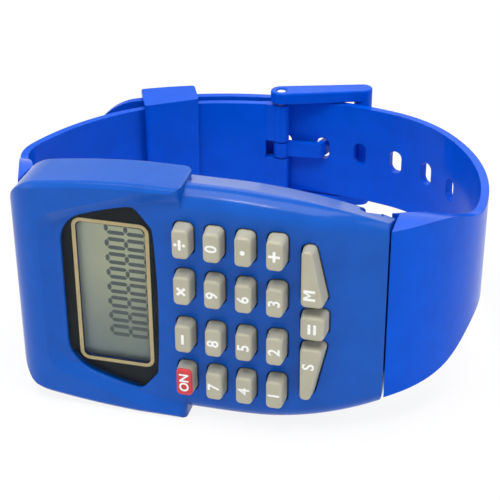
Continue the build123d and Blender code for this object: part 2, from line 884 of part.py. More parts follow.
with BuildSketch(Plane.XY) as long_end_profile:
    with BuildLine():
        seam_line = Line(long_rise @ 1, (end_6 + seam_gap, -pin_height - tongue_half_thick))
        tongue_top = Line(seam_line @ 1, (pin_x_6, -pin_height - tongue_half_thick))
        tongue_round = TangentArc(tongue_top @ 1, (pin_x_6, -pin_height + tongue_half_thick), tangent=(-1, 0))
        long_curl = Spline(
            tongue_round @ 1,
            (end_6 + wrist_step, block_back_6),
            loop_place(reach_6, block_heel_shares),
            inside(long_rise, block_end_share, strap_thick),
            tangents=[(1, 0), (0, 1)],
        )
        curl_end = Line(long_curl @ 1, inside(long_rise, block_end_share, strap_thick / 2))
        ThreePointArc(curl_end @ 1, inside(long_rise, block_mid_share, strap_thick / 2), long_rise @ 1)
    make_face()

with BuildSketch(Plane.XY) as long_band:
    with BuildLine():
        add(long_path.line)
        offset(amount=strap_thick, side=Side.RIGHT, closed=True)
    make_face()
    with Locations((end_6 + seam_gap, -seam_height)):
        Rectangle(
            2 * strap_thick, 2 * tongue_half_thick, align=(Align.MAX, Align.CENTER), mode=Mode.SUBTRACT
        )

with BuildPart() as strap_long:
    with BuildSketch(Plane.XY):
        add(long_band.sketch)
        add(long_end_profile.sketch)
    extrude(amount=block_half_width, both=True)
    with BuildSketch(Plane.YZ):
        add(long_width.sketch)
    extrude(amount=loop_depth, both=True, mode=Mode.INTERSECT)
    with BuildSketch(Plane.XY):
        with Locations((0, -pin_height)):
            Rectangle(end_6 + seam_gap, 2 * tongue_half_thick + strap_thick, align=(Align.MIN, Align.CENTER))
    extrude(amount=block_half_width, both=True, mode=Mode.SUBTRACT)
    with BuildSketch(Plane.XY):
        add(long_end_profile.sketch)
        Rectangle(2 * (end_6 + 2 * seam_gap), 2 * loop_depth, mode=Mode.INTERSECT)
    extrude(amount=tongue_half_width, both=True)
    with BuildSketch(Plane.XZ):
        with Locations((tip_x, 0)):
            Rectangle(2 * tip_corner, 2 * block_half_width)
            RectangleRounded(
                4 * tip_corner,
                2 * strap_half_width,
                tip_corner,
                align=(Align.MIN, Align.CENTER),
                mode=Mode.SUBTRACT,
            )
    extrude(amount=-loop_depth, mode=Mode.SUBTRACT)
    for n in range(-holes_past_buckle, hole_count - holes_past_buckle):
        with BuildSketch(hole_plane(hole_first + n * hole_pitch)):
            SlotOverall(hole_width, hole_length, rotation=quarter_turn)
        extrude(amount=2 * strap_thick, both=True, mode=Mode.SUBTRACT)
    with BuildSketch(Plane.XY):
        with Locations((pin_x_6, -pin_height)):
            Circle(pin_radius + pin_gap)
    extrude(amount=block_half_width, both=True, mode=Mode.SUBTRACT)

# Short strap: from the buckle pin in beneath the long one, round the 12 o'clock side to the case
keeper_left = keeper_x - keeper_length / 2
short_radius = bend_radius - strap_thick - layer_gap
bend_end_12 = bend_point(short_radius, bend_start_12)
with BuildLine() as short_path:
    RadiusArc(bend_end_12, bend_point(short_radius, buckle_x), short_radius)
    short_turn = TangentArc(
        bend_end_12,
        bend_point(short_radius - keeper_spread, keeper_left),
        tangent=-bend_direction(bend_start_12),
    )
    short_side = TangentArc(
        short_turn @ 1, loop_place(-reach_12, short_side_shares), tangent=short_turn % 1
    )
    short_knee = TangentArc(
        short_side @ 1, loop_place(-reach_12, short_knee_shares), tangent=short_side % 1
    )
    short_rise = TangentArc(
        short_knee @ 1, (-end_12 - seam_gap, -block_front_12), tangent=short_knee % 1
    )

with BuildSketch(Plane.XY) as short_band:
    with BuildLine():
        add(short_path.line)
        offset(amount=strap_thick, side=Side.LEFT, closed=True)
    make_face()

with BuildSketch(Plane.XY) as short_end_profile:
    with BuildLine():
        short_seam = Line(short_rise @ 1, (-end_12 - seam_gap, -pin_height - tongue_half_thick))
        short_tongue = Line(short_seam @ 1, (pin_x_12, -pin_height - tongue_half_thick))
        short_round = TangentArc(
            short_tongue @ 1, (pin_x_12, -pin_height + tongue_half_thick), tangent=(1, 0)
        )
        short_curl = Spline(
            short_round @ 1,
            (-end_12 - wrist_step, block_back_12),
            loop_place(-reach_12, block_heel_shares_12),
            inside(short_rise, block_end_share, -strap_thick),
            tangents=[(-1, 0), (0, 1)],
        )
        short_curl_end = Line(short_curl @ 1, inside(short_rise, block_end_share, -strap_thick / 2))
        ThreePointArc(
            short_curl_end @ 1, inside(short_rise, block_mid_share, -strap_thick / 2), short_rise @ 1
        )
    make_face()

with BuildSketch(Plane.XY) as short_width:
    with BuildLine():
        short_flare = Spline(
            (-block_front_12, block_half_width),
            (block_waist_y_12, block_waist_12),
            (block_end_y, short_half_width),
            tangents=[(block_tangent_run, block_tangent_drop), (1, 0)],
        )
        Polyline(
            short_flare @ 1,
            (2 * loop_depth, short_half_width),
            (2 * loop_depth, 0),
            (-lip_height, 0),
            (-lip_height, block_half_width),
            short_flare @ 0,
        )
    make_face()
    mirror(about=Plane.XZ)

knuckle_tail = buckle_sink - layer_gap - strap_thick / 2
with BuildPart() as strap_short:
    with BuildSketch(Plane.XY):
        add(short_band.sketch)
        with Locations((-end_12 - seam_gap, 0)):
            Rectangle(
                2 * tongue_half_thick,
                4 * tongue_half_thick,
                align=(Align.MIN, Align.CENTER),
                mode=Mode.SUBTRACT,
            )
        add(short_end_profile.sketch)
    extrude(amount=block_half_width, both=True)
    with BuildSketch(Plane.YZ):
        add(short_width.sketch)
    extrude(amount=loop_depth, both=True, mode=Mode.INTERSECT)
    with BuildSketch(Plane.XY):
        with Locations((0, -pin_height)):
            Rectangle(end_12 + seam_gap, 2 * tongue_half_thick + strap_thick, align=(Align.MAX, Align.CENTER))
    extrude(amount=block_half_width, both=True, mode=Mode.SUBTRACT)
    with BuildSketch(Plane.XY):
        add(short_end_profile.sketch)
        Rectangle(2 * (end_12 + 2 * seam_gap), 2 * loop_depth, mode=Mode.INTERSECT)
    extrude(amount=tongue_half_width, both=True)
    # Knuckle round the buckle pin, with the slot of the tang
    with BuildSketch(buckle_plane):
        Circle(knuckle_radius)
        with BuildLine():
            Polyline(
                (-knuckle_run, knuckle_tail),
                (-knuckle_sink, -knuckle_radius + knuckle_lift),
                (0, 0),
                (-knuckle_sink, knuckle_radius - knuckle_lift),
                (-knuckle_run, knuckle_tail),
            )
        make_face()
    extrude(amount=short_half_width, both=True)
    with BuildSketch(buckle_plane):
        Circle(buckle_pin_radius + buckle_pin_gap)
    extrude(amount=block_half_width, both=True, mode=Mode.SUBTRACT)
    with BuildSketch(buckle_plane):
        with Locations((-tang_slot_back, 0)):
            Rectangle(loop_depth, 4 * knuckle_radius, align=(Align.MIN, Align.CENTER))
    extrude(amount=tang_width / 2 + tang_slot_gap, both=True, mode=Mode.SUBTRACT)
    with BuildSketch(Plane.XY):
        with Locations((pin_x_12, -pin_height)):
            Circle(pin_radius + pin_gap)
    extrude(amount=block_half_width, both=True, mode=Mode.SUBTRACT)

# Buckle, drawn about its pin with x along the strap to 6 o'clock and y outwards
with BuildPart() as buckle_pin:
    with BuildSketch(buckle_plane):
        Circle(buckle_pin_radius)
    extrude(amount=buckle_pin_half, both=True)

arm_inner = strap_half_width + frame_side_gap
with BuildPart() as buckle_frame:
    with BuildSketch(buckle_plane):
        with BuildLine():
            CenterArc((0, 0), frame_eye_radius, 0, 4 * quarter_turn)
            CenterArc((frame_reach, frame_rise), frame_bar_radius, 0, 4 * quarter_turn)
        make_hull()
        Circle(buckle_pin_radius + buckle_pin_gap, mode=Mode.SUBTRACT)
    extrude(amount=arm_inner + frame_arm_width, both=True)
    fillet(edges().filter_by(GeomType.LINE, reverse=True).group_by(Axis.Z)[-1], radius=frame_roll)
    with BuildSketch(buckle_plane):
        Rectangle(4 * frame_reach, 4 * frame_reach)
        with Locations((frame_reach, frame_rise)):
            Circle(frame_bar_radius, mode=Mode.SUBTRACT)
    extrude(amount=arm_inner, both=True, mode=Mode.SUBTRACT)
    with BuildSketch(buckle_plane):
        with Locations((frame_reach, frame_rise + frame_bar_radius - frame_groove_depth)):
            Rectangle(4 * frame_bar_radius, 2 * frame_bar_radius, align=(Align.CENTER, Align.MIN))
    extrude(amount=frame_groove_width / 2, both=True, mode=Mode.SUBTRACT)

with BuildPart() as buckle_tang:
    with BuildSketch(buckle_plane):
        with BuildLine():
            FilletPolyline(
                (0, tang_inner_rise),
                (tang_ramp_start, tang_inner_rise),
                (tang_ramp_start + tang_ramp_run, tang_outer_rise),
                (tang_tip, tang_outer_rise + tang_tip_rise),
                radius=tang_bend,
            )
        trace(line_width=tang_thick)
        Circle(tang_eye_radius)
        Circle(buckle_pin_radius + buckle_pin_gap, mode=Mode.SUBTRACT)
    extrude(amount=tang_width / 2, both=True)

# Keeper: its outer wall follows the shared bend, its inner wall the short strap, which lies deeper
# towards 12 o'clock. Its ends are square to the bend.
keeper_at = bend_point(bend_radius, keeper_x)
keeper_tilt = degrees(atan2(bend_direction(keeper_x).Y, bend_direction(keeper_x).X))
keeper_radius = bend_radius + keeper_gap
keeper_inner = short_radius - strap_thick - keeper_gap
with BuildSketch(Plane.XY) as keeper_channel:
    with BuildLine():
        channel_top = RadiusArc(
            bend_point(keeper_radius, keeper_x - keeper_length),
            bend_point(keeper_radius, keeper_x + keeper_length),
            keeper_radius,
        )
        Polyline(
            channel_top @ 1,
            bend_point(keeper_inner + keeper_spread / 2, keeper_x + keeper_length),
            bend_point(keeper_inner - 3 * keeper_spread / 2, keeper_x - keeper_length),
            channel_top @ 0,
        )
    make_face()
with BuildPart() as keeper_loop:
    with BuildSketch(Plane.XY):
        offset(keeper_channel.sketch, amount=keeper_wall)
        with Locations(keeper_at):
            Rectangle(keeper_length, loop_depth, rotation=keeper_tilt, mode=Mode.INTERSECT)
        fillet(vertices(), radius=keeper_corner)
    extrude(amount=strap_half_width + keeper_gap + keeper_side_wall, both=True)
    with BuildSketch(Plane.XY):
        add(keeper_channel.sketch)
    extrude(amount=strap_half_width + keeper_gap, both=True, mode=Mode.SUBTRACT)

pieces = {
    "front_case": front_case.part,
    "display_window": display_window.part,
    "window_mask": window_mask.part,
    "lcd_panel": lcd_panel.part,
    "lcd_reflector": lcd_reflector.part,
    "lcd_connector_strip": lcd_connector_strip.part,
    "inner_frame": inner_frame.part,
    "circuit_board": circuit_board.part,
    "keypad_mat": keypad_mat.part,
    "chip_blob": chip_blob.part,
    "quartz_crystal": quartz_crystal.part,
    "button_cell": button_cell.part,
    "battery_contact_negative": battery_contact_negative.part,
    "battery_contact_positive": battery_contact_positive.part,
    "back_cover": back_cover.part,
    "back_cover_screws": back_cover_screws.part,
    "strap_pin_6": strap_pin_6.part,
    "strap_pin_12": strap_pin_12.part,
    "strap_long": strap_long.part,
    "strap_short": strap_short.part,
    "buckle_pin": buckle_pin.part,
    "buckle_frame": buckle_frame.part,
    "buckle_tang": buckle_tang.part,
    "keeper_loop": keeper_loop.part,
    "key_equals": key_equals.part,
    "key_m": key_m.part,
    "key_s": key_m.part.mirror(Plane.XY),
}
key_names = [
    ["on", "minus", "times", "divide"],
    ["7", "8", "9", "0"],
    ["4", "5", "6", "point"],
    ["1", "2", "3", "plus"],
]
for x, names in zip(key_columns, key_names):
    for z, name in zip(key_rows, names):
        pieces["key_" + name] = Pos(x, 0, z) * key.part

os.makedirs("parts", exist_ok=True)
for name, piece in pieces.items():
    piece.label = name
    export_step(piece, "parts/" + name + ".step")
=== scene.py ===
import math

import bmesh
import bpy
from mathutils import Matrix, Vector


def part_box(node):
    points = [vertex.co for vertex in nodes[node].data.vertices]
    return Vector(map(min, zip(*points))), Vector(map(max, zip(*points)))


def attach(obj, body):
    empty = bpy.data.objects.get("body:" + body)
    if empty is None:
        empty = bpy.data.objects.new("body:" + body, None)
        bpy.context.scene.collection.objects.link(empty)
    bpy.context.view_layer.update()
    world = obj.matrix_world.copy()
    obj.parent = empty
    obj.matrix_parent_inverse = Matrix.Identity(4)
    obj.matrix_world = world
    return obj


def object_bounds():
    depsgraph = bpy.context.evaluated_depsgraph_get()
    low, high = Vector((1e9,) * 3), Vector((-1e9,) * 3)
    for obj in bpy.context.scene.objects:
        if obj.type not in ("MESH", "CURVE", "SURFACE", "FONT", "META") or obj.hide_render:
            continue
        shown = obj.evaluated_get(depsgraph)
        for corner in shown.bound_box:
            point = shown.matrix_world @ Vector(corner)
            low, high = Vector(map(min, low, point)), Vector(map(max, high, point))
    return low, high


MM = 0.001

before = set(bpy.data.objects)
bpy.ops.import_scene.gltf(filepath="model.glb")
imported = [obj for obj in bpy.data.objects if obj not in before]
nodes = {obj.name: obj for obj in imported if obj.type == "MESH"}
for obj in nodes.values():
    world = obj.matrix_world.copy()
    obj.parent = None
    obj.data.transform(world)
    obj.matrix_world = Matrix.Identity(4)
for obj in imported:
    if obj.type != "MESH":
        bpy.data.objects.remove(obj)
cad_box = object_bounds()

# The camera stands where the photographer's did
CAMERA_AZIMUTH = 14.71
CAMERA_ELEVATION = 30.0
CAMERA_ROLL = -0.33
CAMERA_DISTANCE = 205.13 * MM
CAMERA_TARGET = Vector((10.077, -11.5, 12.0)) * MM
LENS = 104.24
SENSOR_WIDTH = 36.0
CLIP_NEAR = 0.005
CLIP_FAR = 20.0

# Display, in the millimetres of the case
LCD_CENTRE = -11.8
VIEW_LENGTH = 10.7
VIEW_WIDTH = 23.7
GOLD_OUTER_MARGIN = 0.65
GOLD_WIDTH = 0.6
GOLD_CORNER = 1.5
DIGIT_COUNT = 8
DIGIT_HEIGHT = 6.7
DIGIT_WIDTH = 2.05
DIGIT_PITCH = 2.55
DIGIT_CENTRE_X = -9.75
DIGIT_LAST_Z = 10.75
SEGMENT_WIDTH = 0.64
SEGMENT_GAP = 0.09
DOTS_AFTER = (1, 2, 5)
DOT_RADIUS = 0.2
PRINT_THICK = 0.02
WINDOW_IOR = 1.18
LCD_ALONG = [
    (0.0, (0.64, 0.66, 0.54)),
    (0.25, (0.70, 0.71, 0.51)),
    (0.6, (0.74, 0.75, 0.50)),
    (1.0, (0.70, 0.71, 0.50)),
]
# Painted shade across the display: darker and bluer towards 9 o'clock, near white towards 3 o'clock where
# the light falls
LCD_PAINTED_SHADE = [
    (0.0, (0.38, 0.46, 0.62)),
    (0.25, (0.55, 0.60, 0.70)),
    (0.6, (0.88, 0.90, 0.88)),
    (1.0, (1.0, 1.0, 0.96)),
]

# Key legends, in millimetres. The 9 is a 6 turned half round: the font's own 9 doesn't fill when bold
LEGEND_SIZE = 2.45
LEGEND_BOLD = 0.05
LEGENDS = {"key_%d" % n: str(n) for n in range(10)}
LEGENDS["key_9"] = "6"
LEGENDS["key_s"] = "S"
SHAPED_LEGEND_X = 0.35
SHAPED_LEGEND_SHARES = {"key_m": 0.70, "key_s": 0.81}
SIGN_LENGTH = 1.7
SIGN_WIDTH = 0.42
SIGN_DOT = 0.25
SIGN_LIFT = 0.64
EQUALS_LIFT = 0.42
POINT_RADIUS = 0.38
M_SIZE = (1.75, 1.75, 0.42)
ON_SIZE = 2.0
ON_PATCH = (3.9, 1.7, 0.3)
RED = (0.62, 0.035, 0.045)
RED_DEPTH = 0.42

# Stage: lamps as name, azimuth, elevation, width and height in millimetres, and watts
LAMPS = [
    ("top_light", -10, 78, 420, 300, 1.5),
    ("left_light", -62, 22, 200, 340, 0.30),
    ("right_light", 70, 25, 200, 340, 0.34),
    ("back_light", 170, 40, 360, 220, 0.5),
    ("spark_light", -12, 62, 90, 20, 0.24),
]
LAMP_TARGET = Vector((3, 18, 0)) * MM
LAMP_DISTANCE = 420 * MM
FILL_STRENGTH = 0.34
WHITE = (1.0, 1.0, 1.0, 1.0)
FLOOR_DROP = 0.05 * MM
FLOOR_GLOW = 0.88
FLOOR_REACH = 1.6
FLOOR_COLOUR = (0.92, 0.92, 0.92, 1.0)

# Scales of the textures, in turns per metre
PLASTIC_MOTTLE = 260.0
BOARD_MOTTLE = 600.0
METAL_GRAIN = 1500.0
INK_GRAIN = 1800.0
LCD_GRAIN = 900.0
WINDOW_CLOUD = 300.0
WINDOW_WEAR = 700.0

# Sockets of a Mix node that mixes colours
COLOUR_A = 6
COLOUR_B = 7
COLOUR_OUT = 2


def link(obj):
    bpy.context.scene.collection.objects.link(obj)
    return obj


# Materials


def tree_of(name):
    """A new material, its nodes and its shader."""
    mat = bpy.data.materials.new(name)
    mat.use_nodes = True
    tree = mat.node_tree
    shader = tree.nodes["Principled BSDF"]
    return mat, tree, shader


def node(tree, kind, **values):
    """A new node with some of its properties or input values set."""
    made = tree.nodes.new(kind)
    for key, value in values.items():
        if hasattr(made, key):
            setattr(made, key, value)
        else:
            made.inputs[key].default_value = value
    return made


def place(tree):
    """Place on the object at rest, in metres of the shared frame."""
    return tree.nodes.new("ShaderNodeTexCoord").outputs["Object"]


def noise(tree, scale, detail=3.0):
    made = tree.nodes.new("ShaderNodeTexNoise")
    made.inputs["Scale"].default_value = scale
    made.inputs["Detail"].default_value = detail
    tree.links.new(place(tree), made.inputs["Vector"])
    return made.outputs["Fac"]


def ramp(tree, source, stops):
    """Colours for a value from 0 to 1, from stops of a value and its colour."""
    made = tree.nodes.new("ShaderNodeValToRGB")
    line = made.color_ramp
    while len(line.elements) < len(stops):
        line.elements.new(0.5)
    for element, (at, colour) in zip(line.elements, stops):
        element.position = at
        element.color = (*colour, 1.0)
    tree.links.new(source, made.inputs["Fac"])
    return made.outputs["Color"]


def spread(tree, source, low, high):
    """A value from 0 to 1 spread between two others."""
    made = tree.nodes.new("ShaderNodeMapRange")
    made.inputs["To Min"].default_value = low
    made.inputs["To Max"].default_value = high
    tree.links.new(source, made.inputs["Value"])
    return made.outputs["Result"]


def rounded_normal(tree, shader, radius, bump_source, bump, distance=0.05):
    """Edges catch the light as moulded ones do; the surface has a fine unevenness."""
    bevel = node(tree, "ShaderNodeBevel", samples=4, Radius=radius * MM)
    uneven = node(tree, "ShaderNodeBump", Strength=bump, Distance=distance * MM)
    tree.links.new(bump_source, uneven.inputs["Height"])
    tree.links.new(bevel.outputs["Normal"], uneven.inputs["Normal"])
    tree.links.new(uneven.outputs["Normal"], shader.inputs["Normal"])


def plastic(name, dark, light, rough, edge, bump=0.06, scale=PLASTIC_MOTTLE, gloss=0.5):
    """Moulded plastic, mottled between two colours; edge is the radius of its edges in millimetres."""
    mat, tree, shader = tree_of(name)
    colour = ramp(tree, noise(tree, scale), [(0.3, dark), (0.7, light)])
    tree.links.new(colour, shader.inputs["Base Color"])
    polish = spread(tree, noise(tree, scale * 3), rough * 0.8, rough * 1.25)
    tree.links.new(polish, shader.inputs["Roughness"])
    shader.inputs["Specular IOR Level"].default_value = gloss
    rounded_normal(tree, shader, edge, noise(tree, scale * 0.6, 2.0), bump)
    return mat


def metal(name, dark, light, rough, stretch=(1.0, 1.0, 1.0)):
    """Metal with a fine grain, drawn out along the axis that stretch makes small."""
    mat, tree, shader = tree_of(name)
    mapping = node(tree, "ShaderNodeMapping", Scale=stretch)
    tree.links.new(place(tree), mapping.inputs["Vector"])
    texture = node(tree, "ShaderNodeTexNoise", Scale=METAL_GRAIN)
    tree.links.new(mapping.outputs["Vector"], texture.inputs["Vector"])
    grain = texture.outputs["Fac"]
    tree.links.new(ramp(tree, grain, [(0.3, dark), (0.7, light)]), shader.inputs["Base Color"])
    tree.links.new(spread(tree, grain, rough * 0.7, rough * 1.4), shader.inputs["Roughness"])
    shader.inputs["Metallic"].default_value = 1.0
    rounded_normal(tree, shader, 0.08, grain, 0.05, 0.01)
    return mat


def print_ink(name, colour, rough):
    """Flat ink with a fine unevenness of colour."""
    mat, tree, shader = tree_of(name)
    dim = tuple(c * 0.9 for c in colour)
    tint = ramp(tree, noise(tree, INK_GRAIN), [(0.35, dim), (0.65, colour)])
    tree.links.new(tint, shader.inputs["Base Color"])
    shader.inputs["Roughness"].default_value = rough
    return mat


def share_along(tree, position, low, high):
    """Share of the way between two places, in millimetres."""
    made = tree.nodes.new("ShaderNodeMapRange")
    made.inputs["From Min"].default_value = low * MM
    made.inputs["From Max"].default_value = high * MM
    tree.links.new(position, made.inputs["Value"])
    return made.outputs["Result"]


def liquid_crystal():
    """Grey-green, a little greyer on the blank side, with painted shade: darker and bluer towards 9
    o'clock, lighter towards 3 o'clock.
    """
    mat, tree, shader = tree_of("lcd_grey")
    split = tree.nodes.new("ShaderNodeSeparateXYZ")
    tree.links.new(place(tree), split.inputs["Vector"])
    along = share_along(
        tree, split.outputs["X"], LCD_CENTRE - VIEW_LENGTH / 2, LCD_CENTRE + VIEW_LENGTH / 2
    )
    # Share of the way across the display from 9 o'clock to 3 o'clock, for the painted shade
    shade_share = share_along(tree, split.outputs["Z"], -VIEW_WIDTH / 2, VIEW_WIDTH / 2)
    mix = node(tree, "ShaderNodeMix", data_type="RGBA", blend_type="MULTIPLY", Factor=1.0)
    tree.links.new(ramp(tree, along, LCD_ALONG), mix.inputs[COLOUR_A])
    tree.links.new(ramp(tree, shade_share, LCD_PAINTED_SHADE), mix.inputs[COLOUR_B])
    tree.links.new(mix.outputs[COLOUR_OUT], shader.inputs["Base Color"])
    shader.inputs["Roughness"].default_value = 0.35
    rounded_normal(tree, shader, 0.05, noise(tree, LCD_GRAIN), 0.03, 0.01)
    return mat


def clear_window():
    """Clear acrylic: it shows what lies beneath and mirrors the lamps a little."""
    mat, tree, shader = tree_of("window_clear")
    tree.nodes.remove(shader)
    clear = tree.nodes.new("ShaderNodeBsdfTransparent")
    tint = ramp(tree, noise(tree, WINDOW_CLOUD), [(0.3, (0.93, 0.95, 0.96)), (0.7, (0.96, 0.97, 0.97))])
    tree.links.new(tint, clear.inputs["Color"])
    gloss = tree.nodes.new("ShaderNodeBsdfGlossy")
    tree.links.new(spread(tree, noise(tree, WINDOW_WEAR), 0.03, 0.07), gloss.inputs["Roughness"])
    fresnel = node(tree, "ShaderNodeFresnel", IOR=WINDOW_IOR)
    mix = tree.nodes.new("ShaderNodeMixShader")
    tree.links.new(fresnel.outputs["Fac"], mix.inputs["Fac"])
    tree.links.new(clear.outputs[0], mix.inputs[1])
    tree.links.new(gloss.outputs[0], mix.inputs[2])
    tree.links.new(mix.outputs[0], tree.nodes["Material Output"].inputs["Surface"])
    return mat


def red_topped(base):
    """A key's own material with the top in red, down to a level on its sides."""
    mat = base.copy()
    mat.name = "key_red_top"
    tree = mat.node_tree
    shader = tree.nodes["Principled BSDF"]
    grey = shader.inputs["Base Color"].links[0].from_socket
    split = tree.nodes.new("ShaderNodeSeparateXYZ")
    tree.links.new(place(tree), split.inputs["Vector"])
    above = node(tree, "ShaderNodeMath", operation="LESS_THAN")
    tree.links.new(split.outputs["Y"], above.inputs[0])
    above.inputs[1].default_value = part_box("key_on")[0].y + RED_DEPTH * MM
    mix = node(tree, "ShaderNodeMix", data_type="RGBA")
    tree.links.new(above.outputs[0], mix.inputs["Factor"])
    tree.links.new(grey, mix.inputs[COLOUR_A])
    mix.inputs[COLOUR_B].default_value = (*RED, 1.0)
    tree.links.new(mix.outputs[COLOUR_OUT], shader.inputs["Base Color"])
    return mat


blue_case = plastic(
    "case_blue", dark=(0.0, 0.080, 0.44), light=(0.001, 0.092, 0.50), rough=0.15, edge=0.35, gloss=0.22
)
blue_strap = plastic(
    "strap_blue", dark=(0.0, 0.080, 0.60), light=(0.0, 0.093, 0.68),
    rough=0.20, edge=0.22, bump=0.08, gloss=0.07,
)
grey_key = plastic(
    "key_grey", dark=(0.42, 0.40, 0.300), light=(0.46, 0.44, 0.335), rough=0.42, edge=0.25, bump=0.08
)
red_patch = print_ink("patch_red", RED, rough=0.4)
white_ink = print_ink("legend_white", (0.95, 0.95, 0.92), rough=0.5)
gold_ink = print_ink("frame_gold", (1.0, 0.76, 0.36), rough=0.35)
digit_ink = print_ink("segments_dark", (0.14, 0.17, 0.165), rough=0.4)
black_mask = plastic(
    "mask_black", dark=(0.008, 0.012, 0.016), light=(0.013, 0.018, 0.024),
    rough=0.4, edge=0.05, bump=0.03, gloss=0.05,
)
lcd_grey = liquid_crystal()
window_glass = clear_window()
red_topped_key = red_topped(grey_key)
white_frame = plastic(
    "frame_white", dark=(0.72, 0.72, 0.70), light=(0.80, 0.80, 0.78), rough=0.5, edge=0.15
)
green_board = plastic(
    "board_green", dark=(0.02, 0.16, 0.06), light=(0.035, 0.22, 0.09),
    rough=0.35, edge=0.05, scale=BOARD_MOTTLE,
)
pale_mat = plastic("mat_pale", dark=(0.50, 0.50, 0.48), light=(0.60, 0.60, 0.57), rough=0.6, edge=0.2)
pink_strip = plastic("strip_pink", dark=(0.60, 0.36, 0.36), light=(0.70, 0.45, 0.45), rough=0.6, edge=0.1)
black_resin = plastic(
    "resin_black", dark=(0.008, 0.008, 0.008), light=(0.02, 0.02, 0.02), rough=0.25, edge=0.2
)
satin_steel = metal(
    "steel_satin", dark=(0.52, 0.52, 0.53), light=(0.66, 0.66, 0.67), rough=0.28, stretch=(1.0, 1.0, 0.08)
)
cell_steel = metal("steel_cell", dark=(0.62, 0.62, 0.62), light=(0.74, 0.74, 0.74), rough=0.2)
spring_steel = metal("steel_spring", dark=(0.56, 0.52, 0.44), light=(0.68, 0.64, 0.56), rough=0.3)
foil = metal(
    "foil", dark=(0.66, 0.68, 0.68), light=(0.78, 0.80, 0.80), rough=0.35, stretch=(0.05, 1.0, 1.0)
)

# The keys that aren't named here are grey
NODE_MATERIALS = {
    "front_case": blue_case, "back_cover": blue_case,
    "strap_long": blue_strap, "strap_short": blue_strap, "buckle_frame": blue_strap,
    "buckle_tang": blue_strap, "keeper_loop": blue_strap,
    "key_on": red_topped_key, "display_window": window_glass,
    "window_mask": black_mask, "lcd_panel": lcd_grey,
    "lcd_reflector": foil, "lcd_connector_strip": pink_strip, "inner_frame": white_frame,
    "circuit_board": green_board, "keypad_mat": pale_mat, "chip_blob": black_resin,
    "quartz_crystal": satin_steel, "button_cell": cell_steel,
    "battery_contact_negative": spring_steel, "battery_contact_positive": spring_steel,
    "back_cover_screws": satin_steel, "strap_pin_6": satin_steel, "strap_pin_12": satin_steel,
    "buckle_pin": satin_steel,
}
for name, obj in nodes.items():
    obj.data.materials.clear()
    obj.data.materials.append(NODE_MATERIALS.get(name, grey_key))
    for face in obj.data.polygons:
        face.material_index = 0


# Printed pieces

# A print lies on the dial side: its right is +Z, its top is towards 12 o'clock and it faces -Y
PRINT_AXES = Matrix(((0, -1, 0), (0, 0, -1), (1, 0, 0))).to_4x4()


def on_dial(x, y, z):
    """Transform of a print whose middle lies at a place in the case, in millimetres."""
    return Matrix.Translation(Vector((x, y, z)) * MM) @ PRINT_AXES


def piece(name, mesh, mat, body, transform):
    """A visible piece of one material that rides on a body."""
    mesh.transform(transform)
    mesh.materials.clear()
    mesh.materials.append(mat)
    obj = link(bpy.data.objects.new(name, mesh))
    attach(obj, body)
    return obj


def outline_mesh(name, outlines, thick):
    """Thin plates from closed outlines in millimetres."""
    mesh = bpy.data.meshes.new(name)
    bm = bmesh.new()
    for outline in outlines:
        low = [bm.verts.new((x * MM, y * MM, 0)) for x, y in outline]
        high = [bm.verts.new((x * MM, y * MM, thick * MM)) for x, y in outline]
        bm.faces.new(high)
        bm.faces.new(list(reversed(low)))
        for n in range(len(outline)):
            m = (n + 1) % len(outline)
            bm.faces.new((low[n], low[m], high[m], high[n]))
    bm.normal_update()
    bm.to_mesh(mesh)
    bm.free()
    return mesh


def rounded_rectangle(width, height, radius, steps=8):
    """Outline with its middle at the origin."""
    points = []
    for cx, cy, start in (
        (width / 2 - radius, height / 2 - radius, 0),
        (-width / 2 + radius, height / 2 - radius, 90),
        (-width / 2 + radius, -height / 2 + radius, 180),
        (width / 2 - radius, -height / 2 + radius, 270),
    ):
        for n in range(steps + 1):
            a = math.radians(start + 90 * n / steps)
            points.append((cx + radius * math.cos(a), cy + radius * math.sin(a)))
    return points


def ring_mesh(name, outer, inner, thick):
    """Thin plate between two outlines with equally many points."""
    mesh = bpy.data.meshes.new(name)
    bm = bmesh.new()
    loops = [
        [bm.verts.new((x * MM, y * MM, z * MM)) for x, y in points]
        for points, z in ((outer, 0), (outer, thick), (inner, thick), (inner, 0))
    ]
    count = len(outer)
    for k in range(4):
        a, b = loops[k], loops[(k + 1) % 4]
        for n in range(count):
            m = (n + 1) % count
            bm.faces.new((a[n], a[m], b[m], b[n]))
    bm.normal_update()
    bm.to_mesh(mesh)
    bm.free()
    return mesh


def text_mesh(name, words, size, bold):
    """Plain lettering of one print's thickness, with the middle of its box at the origin."""
    curve = bpy.data.curves.new(name + "_curve", "FONT")
    curve.body = words
    curve.size = size * MM
    curve.align_x = "CENTER"
    curve.align_y = "CENTER"
    curve.offset = bold * MM
    curve.extrude = PRINT_THICK / 2 * MM
    curve.resolution_u = 6
    holder = link(bpy.data.objects.new(name + "_holder", curve))
    bpy.context.view_layer.update()
    depsgraph = bpy.context.evaluated_depsgraph_get()
    mesh = bpy.data.meshes.new_from_object(holder.evaluated_get(depsgraph))
    bpy.data.objects.remove(holder)
    xs = [v.co.x for v in mesh.vertices]
    ys = [v.co.y for v in mesh.vertices]
    mesh.transform(Matrix.Translation((-(min(xs) + max(xs)) / 2, -(min(ys) + max(ys)) / 2, 0)))
    return mesh


def legend_place(name):
    """Place of a key's legend, in millimetres: the middle of its top, or nearer the = key."""
    low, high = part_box(name)
    x, y, z = (low.x + high.x) / 2 / MM, low.y / MM, (low.z + high.z) / 2 / MM
    if name in SHAPED_LEGEND_SHARES:
        x, z = x - SHAPED_LEGEND_X, z * SHAPED_LEGEND_SHARES[name]
    return x, y, z


for name, words in LEGENDS.items():
    x, y, z = legend_place(name)
    mesh = text_mesh("legend_" + name, words, LEGEND_SIZE, LEGEND_BOLD)
    if name == "key_9":
        mesh.transform(Matrix.Rotation(math.pi, 4, "Z"))
    piece("legend_" + name, mesh, white_ink, name, on_dial(x, y - PRINT_THICK / 2, z))


